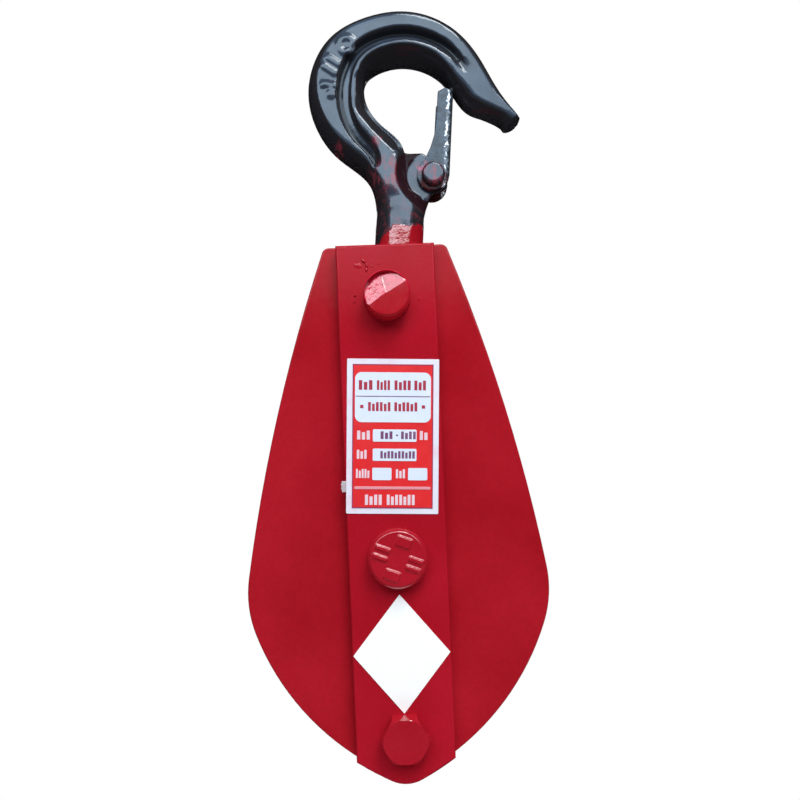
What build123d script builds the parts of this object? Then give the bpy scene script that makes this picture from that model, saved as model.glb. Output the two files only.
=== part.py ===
from build123d import *
import os
from math import cos, hypot, radians, sin, sqrt

# All lengths are in millimetres. The origin is the centre of the hook's bowl, +Z is up,
# +X is to the right of someone who faces the label, and -Y points out of the label.
# The hook is drawn upright in its own frame and then leaned; the block hangs straight down.

# Hook, drawn upright about the bowl centre
hook_lean = 5.0            # degrees, how far the hook leans over the hanging block
shank_x = 1.5              # shank axis, to the right of the bowl centre
shank_d = 16.0
shank_top = -39.5          # where the round shank turns into the flat neck
neck_step = 0.3            # how far the turned shank stands proud of the forging
stem_d = 13.0              # thinner end that passes through the crosshead
hook_half = 6.5            # half thickness of the bow
tip_half = 4.0             # half thickness at the tip
hook_crown = 2.4           # how far the bowl's rounded seat stands in from its rim
hook_round = 3.7           # depth of the rounded back of the bow
groove_w = 4.0             # channel between the rim and the outer band, and where it runs
groove_run = [(hook_crown + step, groove_w * part) for step, part in (
    (8.1, 0.35), (8.6, 0.85), (8.0, 1.0), (5.8, 1.05), (3.8, 1.0), (3.4, 0.9), (3.4, 0.85),
    (3.4, 0.85), (3.8, 0.75), (3.8, 0.3))]
groove_depth = 2.1
mark_h = 0.5               # raised marks on the bow and on the axle head
mark_ring_d, mark_ring_bore = 6.4, 3.6
mark_bar_l, mark_bar_w = 5.4, 1.6
mark_dot_d = 2.6

# Latch on the hook's neck
pivot_x, pivot_z = 11.6, -26.3
rivet_d = 4.6
rivet_head_d = 7.7
rivet_head_h = 1.6
lug_r = 5.2
lug_front = 3.1            # the lug's front face, measured from mid thickness
lug_t = 2.6                # its thickness; the latch's spring lies behind it
latch_half = 4.6           # half width of the folded channel
latch_t = 1.2              # its sheet
latch_web_x = 17.0         # outer face of the channel's web
latch_top_z = 1.8
latch_tongue_z = 2.9
ear_r = 5.3
wire_d = 1.0
coil_turns = 2.25

# Crosshead that the hook turns in
pin_drop = 71.8            # from the bowl centre down the shank to the trunnion axis
bore_offset = 2.9          # shank axis, to the right of the trunnion axis
crosshead_w = 30.0
crosshead_h = 20.0
trunnion_d = 14.0
trunnion_proud = 5.5
washer_t = 2.0
hook_washer_d = 22.0
hook_nut_af = 19.0
hook_nut_h = 10.0
stem_tail = 2.5            # thread showing under the nut
cross_pin_d = 3.0

# Side plates, measured from the sheave axle
cheek_gap = 24.0           # inside width between the cheeks
cheek_t = 3.0
cheek_half = 46.6          # widest half width
cheek_wide_z = -10.9       # height of the widest place
cheek_top_half = 18.9
cheek_top_z = 95.9
cheek_bottom_z = -68.7
side_r = 545.0             # long flank of the outline
shoulder_r = 35.0
lower_r = 79.5
nose_r = 10.2
corner_r = 2.2
plate_edge_r = 0.6
strap_w = 30.0
strap_top_z = 95.0
strap_t = 4.0
strap_edge_r = 0.7
pin_height = 78.5          # trunnion axis above the axle

# Sheave and axle
sheave_d = 75.0
sheave_w = 16.0
groove_r = 4.8             # for rope of 8 to 9 mm
groove_bottom_d = 57.0
rim_land = 1.5             # flat left on each side of the groove
rim_bevel = 0.5
web_t = 12.0
rim_wall = 4.0
hub_d = 30.0
bush_d = 20.0
thrust_t = 1.0
axle_d = 14.0
axle_head_d = 18.0
axle_head_h = 4.5
head_mark_l, head_mark_w = 4.4, 1.2
head_mark_gap = 2.7        # between the two bars of a pair
head_block_h = 2.9
head_mark_turn = 22.0      # degrees
axle_thread_d = 12.0
axle_nut_af = 19.0
axle_nut_h = 7.0
axle_washer_d = 24.0

# Bottom bolt
bolt_z = -53.8             # measured from the axle
bolt_d = 8.0
bolt_af = 13.0
bolt_head_h = 5.3
bolt_nut_h = 6.5
bolt_washer_d = 16.0
bolt_washer_t = 1.6
spacer_d = 14.0
thread_tail = 2.0          # thread showing past a nut

# Labels on the front strap
label_w, label_h = 27.8, 46.8
label_z = 36.6             # its centre above the axle
label_turn = 2.8           # degrees, how far it was stuck on askew
label_t = 0.2
print_t = 0.1
label_border = 1.7
panel_inset = 0.75         # from the red field's edge to the white panels
panel_h = 15.1
box_w, small_box_w, box_h = 13.2, 5.8, 3.7
line_h = 0.8
diamond_w = 29.3
diamond_top_z, diamond_bottom_z = -11.2, -47.1

# Clearances
run_fit = 0.05             # radial, where something turns
hole_fit = 0.2             # radial, where something is only pushed through
spring_gap = 0.15          # beside the latch spring
side_gap = 0.3             # between pieces that move past each other

# Places that follow from the sizes above
plate_out = cheek_gap / 2 + cheek_t
strap_out = plate_out + strap_t
trunnion_x = shank_x - bore_offset
crosshead_top = -pin_drop + crosshead_h / 2
crosshead_bottom = -pin_drop - crosshead_h / 2
washer_top = crosshead_bottom - side_gap
nut_top = washer_top - washer_t
nut_bottom = nut_top - hook_nut_h
stem_bottom = nut_bottom - stem_tail
LEAN = Rot(0, hook_lean, 0)


def leaned(x, z):
    """Gives the place of a point of the upright hook once the hook leans."""
    a = radians(hook_lean)
    return x * cos(a) + z * sin(a), z * cos(a) - x * sin(a)


pin_x, pin_z = leaned(trunnion_x, -pin_drop)
HANG = Location((pin_x, 0, pin_z - pin_height))


def rod(d, y0, y1, x=0.0, z=0.0):
    """A round bar along Y between two faces."""
    return Pos(x, (y0 + y1) / 2, z) * Rot(90, 0, 0) * Cylinder(d / 2, abs(y1 - y0))


def post(d, z0, z1, x=0.0):
    """A round bar along Z between two faces."""
    return Pos(x, 0, (z0 + z1) / 2) * Cylinder(d / 2, abs(z1 - z0))


def slab(face, y0, y1):
    """Thickens a face that lies at Y = 0 into the space between two faces."""
    return Pos(0, min(y0, y1), 0) * extrude(face, abs(y1 - y0), dir=(0, 1, 0))


def arc_through(centre, radius, p, q):
    """The short arc between two points of a circle, in the XZ plane."""
    mx, mz = (p[0] + q[0]) / 2 - centre[0], (p[1] + q[1]) / 2 - centre[1]
    k = radius / hypot(mx, mz)
    mid = (centre[0] + mx * k, centre[1] + mz * k)
    return ThreePointArc((p[0], 0, p[1]), (mid[0], 0, mid[1]), (q[0], 0, q[1]))


def crossing(c1, r1, c2, r2):
    """The left one of the two points where two circles cross."""
    dx, dz = c2[0] - c1[0], c2[1] - c1[1]
    d = hypot(dx, dz)
    a = (r1 * r1 - r2 * r2 + d * d) / (2 * d)
    h = sqrt(r1 * r1 - a * a)
    foot = (c1[0] + a * dx / d, c1[1] + a * dz / d)
    sides = [(foot[0] - s * h * dz / d, foot[1] + s * h * dx / d) for s in (1, -1)]
    return min(sides)


def touch(big, radius, small):
    """Where an arc meets the smaller arc that it runs into."""
    dx, dz = small[0] - big[0], small[1] - big[1]
    k = radius / hypot(dx, dz)
    return big[0] + dx * k, big[1] + dz * k


def shield():
    """The cheek's outline: on each side a flank, a shoulder and a lower arc, then a round nose."""
    shoulder = (cheek_half - shoulder_r, cheek_wide_z)
    nose = (0, cheek_bottom_z + nose_r)
    top = (cheek_top_half, cheek_top_z)
    flank = crossing(shoulder, side_r - shoulder_r, top, side_r)
    lower = crossing(shoulder, lower_r - shoulder_r, nose, lower_r - nose_r)
    a = touch(flank, side_r, shoulder)
    b = touch(lower, lower_r, shoulder)
    c = touch(lower, lower_r, nose)
    right = [arc_through(flank, side_r, top, a), arc_through(shoulder, shoulder_r, a, b),
             arc_through(lower, lower_r, b, c)]
    left = [mirror(edge, about=Plane.YZ) for edge in right]
    tip = arc_through(nose, nose_r, c, (-c[0], c[1]))
    head = Line((-top[0], 0, top[1]), (top[0], 0, top[1]))
    return make_face(Curve() + right + left + [tip, head])


def plate_holes(half):
    """Bars that cut the holes of trunnion, axle and bottom bolt."""
    return (rod(trunnion_d + 2 * run_fit, -half, half, 0, pin_height)
            + rod(axle_d, -half, half)
            + rod(bolt_d + 2 * hole_fit, -half, half, 0, bolt_z))


def rounded(solid, radius, y):
    """Rounds the edges of the face that lies at height y."""
    return fillet(solid.edges().group_by(Axis.Y)[0 if y < 0 else -1], radius)


def cheek(side):
    """A side plate; side is -1 at the front and 1 at the back."""
    face = shield()
    plate = slab(face, side * cheek_gap / 2, side * plate_out)
    upright = plate.edges().filter_by(Axis.Y).group_by(Axis.Z)[-1]
    plate = rounded(fillet(upright, corner_r), plate_edge_r, side)
    return plate - plate_holes(plate_out + 1)


def strap(side):
    """The flat bar down the middle of a cheek, its lower end cut to the cheek's nose."""
    bar = slab(shield(), side * plate_out, side * strap_out)
    low = cheek_bottom_z - 1
    band = Pos(0, 0, (strap_top_z + low) / 2) * Box(strap_w, 4 * strap_out, strap_top_z - low)
    bar = rounded(bar & band, strap_edge_r, side)
    return bar - plate_holes(strap_out + 1)


def sheave():
    """The grooved wheel, with a thin web between its hub and its rim."""
    hub_w = cheek_gap - 2 * (thrust_t + side_gap)
    rim_in = groove_bottom_d / 2 - rim_wall
    wheel = rod(hub_d, -hub_w / 2, hub_w / 2) + rod(2 * rim_in + 1, -web_t / 2, web_t / 2)
    wheel += rod(sheave_d, -sheave_w / 2, sheave_w / 2) - rod(2 * rim_in, -sheave_w, sheave_w)
    centre_r = groove_bottom_d / 2 + groove_r
    mouth = sheave_w / 2 - rim_land
    rope_way = Plane.XY * Pos(centre_r, 0) * Circle(groove_r)
    flare = make_face(Polyline((centre_r, -groove_r + 0.05), (sheave_d / 2, -mouth),
                               (sheave_d / 2 + 1, -mouth), (sheave_d / 2 + 1, mouth),
                               (sheave_d / 2, mouth), (centre_r, groove_r - 0.05), close=True))
    cut = revolve(rope_way, Axis.Y) + revolve(flare, Axis.Y)
    wheel = wheel - cut
    wheel = chamfer(wheel.edges().filter_by(GeomType.CIRCLE).group_by(SortBy.RADIUS)[-1], rim_bevel)
    return wheel - rod(bush_d, -hub_w, hub_w)


def sheave_bush():
    half = cheek_gap / 2 - thrust_t - side_gap
    return rod(bush_d, -half, half) - rod(axle_d + 2 * run_fit, -half - 1, half + 1)


def thrust_washers():
    """One washer each side of the hub, lying against its cheek."""
    inside, half = cheek_gap / 2 - thrust_t, cheek_gap / 2
    ring = rod(hub_d - 2, inside, half) - rod(axle_d, inside - 1, half + 1)
    return Compound([ring, mirror(ring, about=Plane.XZ)])


def topped(d, y0, y1, bevel, x=0.0, z=0.0):
    """A round bar whose end face at y0 has a bevelled rim."""
    bar = rod(d, y0, y1, x, z)
    side = 0 if y0 < y1 else -1
    return chamfer(bar.edges().group_by(Axis.Y)[side], bevel)


def hexagon(af, y0, y1, bevel, x=0.0, z=0.0):
    """A hexagon with flats above and below, its face at y0 turned to a cone at the corners."""
    corner_d = af * 2 / sqrt(3)
    face = Plane.XZ * RegularPolygon(corner_d / 2, 6)
    prism = Pos(x, min(y0, y1), z) * extrude(face, abs(y1 - y0), dir=(0, 1, 0))
    return prism & topped(corner_d, y0, y1, bevel, x, z)


def head_marks():
    """Plain raised marks on the axle head: a block above and below, a pair of bars at each side."""
    y0, y1 = -strap_out - axle_head_h - mark_h, -strap_out - axle_head_h + 0.2
    far = axle_head_d * 0.29
    marks = Part()
    for side in (-1, 1):
        marks += Pos(0, 0, side * far) * Box(head_mark_l, y1 - y0, head_block_h)
        for shift in (-head_mark_gap / 2, head_mark_gap / 2):
            marks += Pos(side * far, 0, shift) * Box(head_mark_l, y1 - y0, head_mark_w)
    return Pos(0, (y0 + y1) / 2, 0) * Rot(0, head_mark_turn, 0) * marks


def axle_pin():
    """The sheave's axle: round head in front, thread for the nut behind."""
    thread_end = strap_out + washer_t + axle_nut_h + thread_tail
    pin = topped(axle_head_d, -strap_out - axle_head_h, -strap_out, 0.9)
    pin += rod(axle_d, -strap_out - 0.5, strap_out)
    pin += topped(axle_thread_d, thread_end, strap_out - 1, 0.8)
    return pin + head_marks()


def axle_washer():
    return rod(axle_washer_d, strap_out, strap_out + washer_t) - rod(axle_thread_d, 0, 2 * strap_out)


def axle_nut():
    y0 = strap_out + washer_t
    nut = hexagon(axle_nut_af, y0 + axle_nut_h, y0, 1.2)
    return nut - rod(axle_thread_d, 0, 2 * strap_out + axle_nut_h)


def bottom_bolt():
    end = strap_out + bolt_washer_t + bolt_nut_h + thread_tail
    bolt = hexagon(bolt_af, -strap_out - bolt_head_h, -strap_out, 0.9, 0, bolt_z)
    return bolt + topped(bolt_d, end, -strap_out - 0.5, 0.6, 0, bolt_z)


def bottom_spacer():
    """The tube that keeps the cheeks apart below the sheave."""
    half = cheek_gap / 2
    tube = rod(spacer_d, -half, half, 0, bolt_z)
    return tube - rod(bolt_d + 2 * hole_fit, -half - 1, half + 1, 0, bolt_z)


def bottom_washer():
    ring = rod(bolt_washer_d, strap_out, strap_out + bolt_washer_t, 0, bolt_z)
    return ring - rod(bolt_d, 0, 2 * strap_out, 0, bolt_z)


def bottom_nut():
    y0 = strap_out + bolt_washer_t
    nut = hexagon(bolt_af, y0 + bolt_nut_h, y0, 0.9, 0, bolt_z)
    return nut - rod(bolt_d, 0, 2 * strap_out + bolt_nut_h, 0, bolt_z)


def stations():
    """Cuts across the bow from shank to tip: seat point, back point, half thickness, roundness."""
    h, r = hook_half, shank_d / 2 - neck_step
    return [
        ((shank_x + r, shank_top), (shank_x - r, shank_top), r, 1.0),
        ((5.6, -31.5), (-7.5, -32.5), h + 1.0, 0.7),
        ((2.6, -20.5), (-10.8, -26.7), h + 0.3, 0.3),
        ((0.8, -15.1), (-14.5, -23.8), h, 0.15),
        ((-5.0, -10.0), (-21.7, -18.7), h, 0.0),
        ((-10.1, -4.8), (-27.6, -11.1), h, 0.0),
        ((-12.4, 1.9), (-30.9, 0.8), h, 0.0),
        ((-10.4, 8.2), (-25.6, 16.8), h, 0.0),
        ((-5.4, 11.4), (-14.2, 24.8), h, 0.0),
        ((2.0, 12.6), (0.4, 28.0), h, 0.0),
        ((12.3, 8.6), (17.2, 22.8), h - 0.4, 0.0),
        ((18.1, 1.5), (26.1, 13.8), (h + tip_half) / 2, 0.1),
        ((24.0, -3.5), (32.6, 4.0), tip_half + 0.7, 0.1),
        ((34.5, -8.3), (40.1, -4.8), tip_half, 0.1),
    ]


def cross_section(seat, back, half, q):
    """One closed section of the bow: crowned seat, two flanks and a rounded back."""
    w = hypot(back[0] - seat[0], back[1] - seat[1])
    nx, nz = (back[0] - seat[0]) / w, (back[1] - seat[1]) / w
    full = 0.1464 * w
    k = min(1.0, w / (4 * hook_half) * 1.7)
    inner = (1 - q) * hook_crown * k + q * full
    outer = (1 - q) * hook_round * k + q * full
    corner = half * (1 - 0.2929 * q)
    bulge = half if q > 0.05 else half + 0.05

    def at(n, y):
        return (seat[0] + nx * n, y, seat[1] + nz * n)

    mid = (inner + w - outer) / 2
    return Wire([
        ThreePointArc(at(inner, corner), at(0, 0), at(inner, -corner)),
        ThreePointArc(at(inner, -corner), at(mid, -bulge), at(w - outer, -corner)),
        ThreePointArc(at(w - outer, -corner), at(w, 0), at(w - outer, corner)),
        ThreePointArc(at(w - outer, corner), at(mid, bulge), at(inner, corner)),
    ])


def offset_points(distances, cuts):
    """Points at given distances from the bowl's seat, one along each of some cuts."""
    found = []
    for distance, (seat, back, half, q) in zip(distances, cuts):
        w = hypot(back[0] - seat[0], back[1] - seat[1])
        found.append((seat[0] + (back[0] - seat[0]) / w * distance, 0,
                      seat[1] + (back[1] - seat[1]) / w * distance))
    return found


def bow_groove():
    """The channel that sets the raised rim off from the outer band, on both flanks."""
    cuts = stations()[2:12]
    near = offset_points([place - wide / 2 for place, wide in groove_run], cuts)
    far = offset_points([place + wide / 2 for place, wide in groove_run], cuts)
    face = make_face(Curve() + [Spline(*near), Line(near[-1], far[-1]), Spline(*far[::-1]),
                                Line(far[0], near[0])])
    floor = hook_half - groove_depth
    return slab(face, -hook_half - 1, -floor) + slab(face, floor, hook_half + 1)


def bow_marks():
    """Plain raised marks on the front of the bow: a ring, two bars, and a bar with a dot."""
    y0, y1 = -hook_half - mark_h, -hook_half + 0.4
    marks = rod(mark_ring_d, y0, y1, -18.4, 13.0) - rod(mark_ring_bore, y0 - 1, y1 + 1, -18.4, 13.0)
    for x, z, turn in ((-22.4, 7.6, 30), (-23.7, 4.9, 30), (-23.2, -0.2, 5)):
        marks += Pos(x, (y0 + y1) / 2, z) * Rot(0, turn, 0) * Box(mark_bar_l, abs(y1 - y0), mark_bar_w)
    return marks + rod(mark_dot_d, y0, y1, -22.6, -3.0)


def lug():
    """The flat boss that carries the latch, to the right of the neck."""
    left, top_z, low = shank_x - 0.2, -18.7, shank_top - 1.5
    face = make_face(Polyline((left, 0, top_z), (8.2, 0, top_z), (pivot_x, 0, pivot_z + lug_r),
                              (pivot_x, 0, pivot_z - lug_r), (shank_x + shank_d / 2 - 1, 0, low),
                              (left, 0, low), close=True))
    body = slab(face, -lug_front, lug_t - lug_front)
    return body + rod(2 * lug_r, -lug_front, lug_t - lug_front, pivot_x, pivot_z)


def hook():
    """The forged hook: bow, neck, lug, round shank and the thinner stem below it."""
    bow = Solid.make_loft([cross_section(*cut) for cut in stations()], ruled=False)
    shoulder = crosshead_top + side_gap
    body = post(shank_d, shoulder, shank_top, shank_x) + post(stem_d, stem_bottom, shoulder + 1, shank_x)
    body = body + lug() + bow - bow_groove() + bow_marks()
    body -= rod(rivet_d + 2 * run_fit, -2 * shank_d, 2 * shank_d, pivot_x, pivot_z)
    return LEAN * (body - cross_pin_bar(2 * shank_d))


def cross_pin_bar(length):
    """The pin through nut and stem, across the block."""
    return rod(cross_pin_d, -length / 2, length / 2, shank_x, (nut_top + nut_bottom) / 2)


def hook_washer():
    ring = post(hook_washer_d, nut_top, washer_top, shank_x)
    return LEAN * (ring - post(stem_d, stem_bottom, 0, shank_x))


def hook_nut():
    prism = extrude(Pos(shank_x, 0, nut_bottom) * RegularPolygon(hook_nut_af / sqrt(3), 6), hook_nut_h)
    drum = Pos(shank_x, 0, (nut_top + nut_bottom) / 2) * Cylinder(hook_nut_af / sqrt(3), hook_nut_h)
    drum = chamfer(drum.edges().group_by(Axis.Z)[0], 1.2)
    nut = (prism & drum) - post(stem_d, stem_bottom - 1, 0, shank_x)
    return LEAN * (nut - cross_pin_bar(2 * hook_nut_af))


def hook_nut_pin():
    return LEAN * cross_pin_bar(hook_nut_af)


def crosshead():
    """The block between the cheeks; its trunnions pass through them, and the hook turns in it."""
    wide = cheek_gap - 2 * side_gap
    body = Pos(trunnion_x, 0, -pin_drop) * Box(crosshead_w, wide, crosshead_h)
    body = fillet(body.edges().filter_by(Axis.Y), 2.0)
    end = strap_out + trunnion_proud
    for side in (-1, 1):
        body += topped(trunnion_d, side * end, 0, 0.6, trunnion_x, -pin_drop)
    return LEAN * (body - post(stem_d + 2 * run_fit, stem_bottom, 0, shank_x))


def latch_outline():
    """The latch's flange seen from the side: a round ear under a tall arm."""
    left = [(8.6, -21.6), (10.3, -17.4), (11.4, -13.2), (11.8, -8.0), (11.9, 1.0)]
    peak = (14.2, latch_top_z + 0.6)
    corner = (latch_web_x - 0.6, latch_top_z - 0.3)
    points = left + [peak, corner, (latch_web_x, latch_top_z - 2), (latch_web_x, pivot_z),
                     (pivot_x, pivot_z)]
    return make_face(Polyline(*[(x, 0, z) for x, z in points], close=True))


def latch():
    """A folded sheet channel: two flanges with ears, and a web that closes the mouth."""
    inner = latch_half - latch_t
    body = slab(latch_outline(), -latch_half, latch_half)
    body += rod(2 * ear_r, -latch_half, latch_half, pivot_x, pivot_z)
    web_in = latch_web_x - latch_t
    web_low = pivot_z + ear_r + 0.5
    body -= Pos(web_in - 20, 0, -15) * Box(40, 2 * inner, 80)
    body -= Pos(pivot_x, 0, web_low - 20) * Box(40, 2 * inner, 40)
    tall = latch_tongue_z - web_low
    tongue = Pos(web_in + latch_t / 2, 0, (latch_tongue_z + web_low) / 2) * Box(latch_t, 8, tall)
    body += tongue
    return LEAN * (body - rod(rivet_d, -30, 30, pivot_x, pivot_z))


def latch_rivet():
    """The rivet that the latch swings on, with a low round head at each end."""
    pin = rod(rivet_d, -latch_half - 0.3, latch_half + 0.3, pivot_x, pivot_z)
    for side in (-1, 1):
        head = rod(rivet_head_d, side * latch_half, side * (latch_half + rivet_head_h), pivot_x, pivot_z)
        pin += fillet(head.edges().group_by(Axis.Y)[0 if side < 0 else -1], rivet_head_h * 0.8)
    return LEAN * pin


def latch_spring():
    """A small wire spring round the rivet: one leg on the neck, one behind the web."""
    radius = rivet_d / 2 + wire_d / 2 + 0.35
    pitch = wire_d + spring_gap / 3
    start = lug_t - lug_front + spring_gap + wire_d / 2
    path = Pos(pivot_x, start, pivot_z) * Rot(-90, 0, 0) * Helix(pitch, pitch * coil_turns, radius)
    wire = sweep(Plane(path @ 0, z_dir=path % 0) * Circle(wire_d / 2), path=path)
    first, last = path @ 0, path @ 1
    web_in = latch_web_x - latch_t
    legs = [(first, Vector(web_in - wire_d / 2 - side_gap, first.Y, -9.0)),
            (last, Vector(5.4, last.Y, last.Z))]
    for a, b in legs:
        wire += Plane(a, z_dir=b - a) * Pos(0, 0, (b - a).length / 2) * Cylinder(wire_d / 2, (b - a).length)
        wire += Pos(a) * Sphere(wire_d / 2)
    return LEAN * wire


def on_label(face_w, face_h, x, z, y0, y1, radius):
    """A thin rounded plate at a place on the label, measured from the label's centre."""
    face = Plane.XZ * RectangleRounded(face_w, face_h, radius)
    return Pos(0, 0, label_z) * Rot(0, label_turn, 0) * Pos(x, 0, z) * slab(face, y0, y1)


def label_sheet():
    return on_label(label_w, label_h, 0, 0, -strap_out - label_t, -strap_out, 0.3)


def label_field():
    y1 = -strap_out - label_t
    wide, tall = label_w - 2 * label_border, label_h - 2 * label_border
    return on_label(wide, tall, 0, 0, y1 - print_t, y1, 0.2)


def label_panels():
    """White boxes of the print: one tall panel above, rows of small boxes and a line below it."""
    y1 = -strap_out - label_t - print_t
    y0 = y1 - print_t
    wide = label_w - 2 * (label_border + panel_inset)
    boxes = [(wide, panel_h, 0, 11.75, 2.0)]
    boxes += [(box_w, box_h, 0.6, z, 0.4) for z in (0.2, -5.6)]
    boxes += [(small_box_w, box_h, x, -11.4, 0.4) for x in (-3.2, 7.6)]
    boxes += [(wide, line_h, 0, -15.6, 0.3)]
    return Compound([on_label(w, h, x, z, y0, y1, r) for w, h, x, z, r in boxes])


def diamond_label():
    """A plain white diamond between the axle head and the bottom bolt."""
    mid = (diamond_top_z + diamond_bottom_z) / 2
    face = make_face(Polyline((0, 0, diamond_top_z), (diamond_w / 2, 0, mid),
                              (0, 0, diamond_bottom_z), (-diamond_w / 2, 0, mid), close=True))
    return slab(face, -strap_out - label_t, -strap_out)


# Pieces of the block are built about the axle and hung under the hook
hung = {
    "front_cheek": cheek(-1), "back_cheek": cheek(1),
    "front_strap": strap(-1), "back_strap": strap(1),
    "sheave": sheave(), "sheave_bush": sheave_bush(), "thrust_washers": thrust_washers(),
    "axle_pin": axle_pin(), "axle_washer": axle_washer(), "axle_nut": axle_nut(),
    "bottom_bolt": bottom_bolt(), "bottom_spacer": bottom_spacer(),
    "bottom_washer": bottom_washer(), "bottom_nut": bottom_nut(),
    "label_sheet": label_sheet(), "label_field": label_field(),
    "label_panels": label_panels(), "diamond_label": diamond_label(),
}
pieces = {name: HANG * piece for name, piece in hung.items()}
pieces.update({
    "hook": hook(), "hook_washer": hook_washer(), "hook_nut": hook_nut(),
    "hook_nut_pin": hook_nut_pin(), "crosshead": crosshead(),
    "latch": latch(), "latch_rivet": latch_rivet(), "latch_spring": latch_spring(),
})

os.makedirs("parts", exist_ok=True)
for name, piece in pieces.items():
    export_step(piece, f"parts/{name}.step")
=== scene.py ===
# %% [markdown]
# # A pulley block, dressed for its photograph
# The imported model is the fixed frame: its solids carry the true shapes and sizes, and this
# script gives them paint, print and wear, with a few softer copies where the real surface is
# softer than the solid. Everything is in metres. The origin is the centre of the hook's bowl,
# +Z is up, and the labelled front looks towards -Y.

# %% Load the frame
import bpy
from math import cos, radians, sin
from mathutils import Matrix, Vector
from mathutils.bvhtree import BVHTree


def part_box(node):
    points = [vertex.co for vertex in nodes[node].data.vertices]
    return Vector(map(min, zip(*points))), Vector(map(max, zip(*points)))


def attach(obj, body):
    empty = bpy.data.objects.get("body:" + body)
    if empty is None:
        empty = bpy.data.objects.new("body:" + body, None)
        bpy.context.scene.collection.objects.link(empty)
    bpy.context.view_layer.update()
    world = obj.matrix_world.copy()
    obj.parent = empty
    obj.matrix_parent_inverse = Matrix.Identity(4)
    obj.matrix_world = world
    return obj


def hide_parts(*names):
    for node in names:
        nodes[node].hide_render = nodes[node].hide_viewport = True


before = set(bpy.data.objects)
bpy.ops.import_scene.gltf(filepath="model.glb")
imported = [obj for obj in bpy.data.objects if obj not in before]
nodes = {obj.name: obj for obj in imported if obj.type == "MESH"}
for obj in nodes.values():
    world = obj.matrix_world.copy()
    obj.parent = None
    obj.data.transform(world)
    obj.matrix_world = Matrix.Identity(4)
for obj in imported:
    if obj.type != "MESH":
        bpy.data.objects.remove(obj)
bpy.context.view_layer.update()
MM = 0.001
print("the frame has", len(nodes), "nodes")

# %% [markdown]
# ## Places that the work keeps coming back to
# A place is read from the solids, never typed twice. The axle's centre is the middle of the
# sheave, and the face of the front strap is the plane that labels and heads stand on.

# %% Key places
def middle(name):
    """The middle of a node's box."""
    low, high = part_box(name)
    return (low + high) / 2


axle = middle("sheave")
trunnion = middle("crosshead")
strap_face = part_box("front_strap")[0].y
print("axle", [round(v, 4) for v in axle], "strap face", round(strap_face, 4))

# %% [markdown]
# ## Camera
# The photograph was taken close up, level with the sheave's axle, with a short lens and
# turned by about two degrees. Its picture was then cut off-centre, so the lens is shifted a
# little. The place was fitted to the outlines of the solids in the photograph.

# %% The photographer's place
camera_data = bpy.data.cameras.new("camera")
camera = bpy.data.objects.new("camera", camera_data)
bpy.context.scene.collection.objects.link(camera)
camera_data.lens = 27.74
camera_data.sensor_width = 36.0
camera_data.shift_y = 0.10
camera_data.clip_start = 0.01
look = (Matrix.Rotation(radians(-0.913), 4, "Z") @ Matrix.Rotation(radians(90.187), 4, "X")
        @ Matrix.Rotation(radians(-2.425), 4, "Z"))
camera.matrix_world = Matrix.Translation((-0.00898, -0.20529, -0.12719)) @ look
bpy.context.scene.camera = camera
print("camera", [round(v, 3) for v in camera.location])

# %% [markdown]
# ## Light
# Outdoors the sky lights such a thing from above and in front, and the gloss shows the sky
# wherever a face is tilted up. One wide, faintly blue panel is that sky. A smaller, stronger
# one above it on the right is the bright part near the sun, and gives the shadows under the
# heads their direction. Three faint fills light the sides and the back for the other views,
# and no reflection shows them.

# %% Panels of light
def light_panel(name, azimuth, elevation, distance, width, height, watts, colour):
    """A soft rectangular lamp, placed by its angles as seen from the block."""
    aim = Vector((0, 0, -0.06))
    a, e = radians(azimuth), radians(elevation)
    place = aim + distance * Vector((sin(a) * cos(e), -cos(a) * cos(e), sin(e)))
    data = bpy.data.lights.new(name, "AREA")
    data.shape = "RECTANGLE"
    data.size, data.size_y = width, height
    data.energy = watts
    data.color = colour
    lamp = bpy.data.objects.new(name, data)
    bpy.context.scene.collection.objects.link(lamp)
    lamp.location = place
    lamp.rotation_euler = (aim - place).to_track_quat("-Z", "Y").to_euler()
    return lamp


light_panel("sky_panel", 4, 37, 1.1, 1.95, 0.56, 16.0, (0.80, 0.91, 1.0))
light_panel("sun_panel", 26, 56, 1.0, 0.4, 0.25, 5.0, (1.0, 0.96, 0.92))
for name, azimuth, watts in (("back_fill", 172, 9.0), ("left_fill", -100, 1.6), ("right_fill", 108, 1.6)):
    fill = light_panel(name, azimuth, 40, 1.1, 0.9, 0.6, watts, (0.93, 0.97, 1.0))
    fill.visible_glossy = False
print("panels lit")

# %% [markdown]
# ## White all round
# The photograph's ground is pure white. The world is white to the camera and in reflections,
# and only a plain grey to the surfaces that it lights, so it adds no glare to the paint.

# %% World
world = bpy.data.worlds.new("white_room")
bpy.context.scene.world = world
world.use_nodes = True
sky = world.node_tree
sky.nodes.clear()
rays = sky.nodes.new("ShaderNodeLightPath")
seen = sky.nodes.new("ShaderNodeMath")
seen.operation = "MAXIMUM"
seen_through = sky.nodes.new("ShaderNodeMath")
seen_through.operation = "MAXIMUM"
mix = sky.nodes.new("ShaderNodeMixShader")
ambient = sky.nodes.new("ShaderNodeBackground")
ambient.inputs["Color"].default_value = (0.86, 0.93, 1.0, 1)
ambient.inputs["Strength"].default_value = 0.14
white = sky.nodes.new("ShaderNodeBackground")
white.inputs["Color"].default_value = (1, 1, 1, 1)
out = sky.nodes.new("ShaderNodeOutputWorld")
sky.links.new(rays.outputs["Is Camera Ray"], seen.inputs[0])
sky.links.new(rays.outputs["Is Glossy Ray"], seen.inputs[1])
sky.links.new(seen.outputs[0], seen_through.inputs[0])
sky.links.new(rays.outputs["Is Transmission Ray"], seen_through.inputs[1])
sky.links.new(seen_through.outputs[0], mix.inputs["Fac"])
sky.links.new(ambient.outputs[0], mix.inputs[1])
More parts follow.
